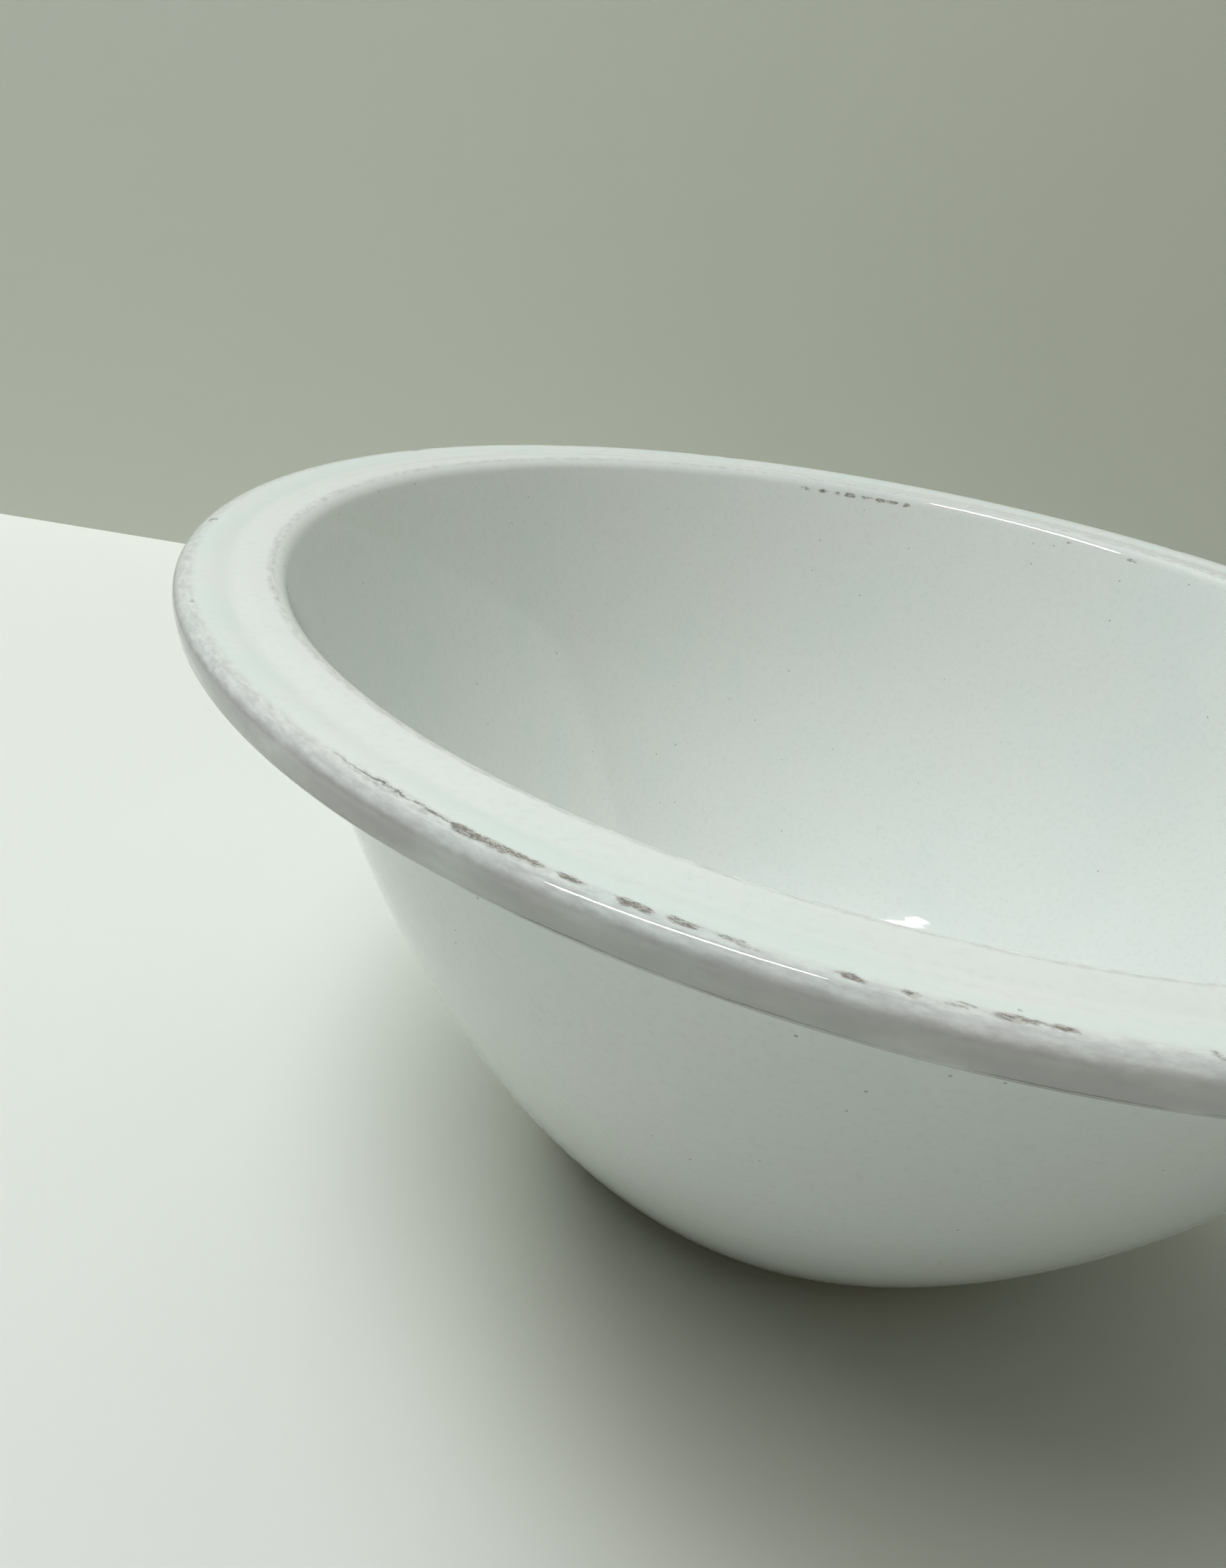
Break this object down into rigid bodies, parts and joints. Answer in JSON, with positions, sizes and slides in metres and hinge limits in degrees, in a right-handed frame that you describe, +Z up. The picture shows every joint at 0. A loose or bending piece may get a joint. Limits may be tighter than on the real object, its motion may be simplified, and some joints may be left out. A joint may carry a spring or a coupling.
{
  "type": "mixing bowl",
  "caption": "Round deep mixing bowl with a wide flat grooved rim, white glazed earthenware on a bare clay foot ring.",
  "frame": {"origin": "centre of the foot ring, on the surface that the bowl stands on", "axes": "+Z up along the axis of the bowl, out of its mouth; +X and +Y are level, and the bowl is the same all round"},
  "size_m": [0.28, 0.28, 0.127],
  "materials": {
    "biscuit_clay": "unglazed fired clay, matt",
    "white_glaze": "glossy white glaze, worn to brown and grey along the rim's edges"
  },
  "bodies": {
    "root": {"clay_body": "biscuit_clay", "glaze_coat": "white_glaze", "recess_glaze": "white_glaze"}
  },
  "joints": []
}
